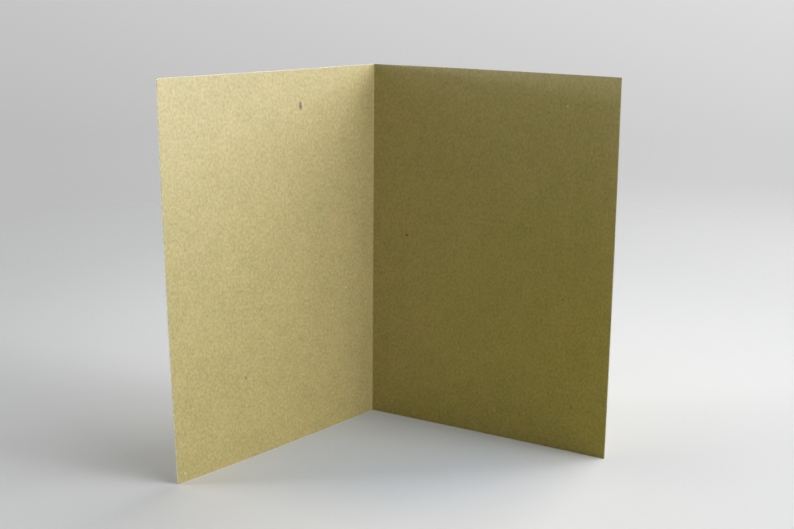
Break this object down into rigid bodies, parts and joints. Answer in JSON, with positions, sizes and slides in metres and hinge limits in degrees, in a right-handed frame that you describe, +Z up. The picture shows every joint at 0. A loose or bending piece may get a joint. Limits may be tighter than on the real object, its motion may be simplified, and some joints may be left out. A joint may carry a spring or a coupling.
{
  "type": "folded card",
  "caption": "Blank kraft board sheet creased once across its middle and stood open on its edge, with two gently curled panels.",
  "frame": {"origin": "foot of the fold, half-way through the board, on the surface that the card stands on", "axes": "+Z up along the fold, -Y out of the opening midway between the panels, +X to the right for someone who looks into the opening"},
  "size_m": [0.1666, 0.0675, 0.148],
  "materials": {
    "kraft_board": "matte"
  },
  "bodies": {
    "root": {"folded_card": "kraft_board"}
  },
  "joints": []
}
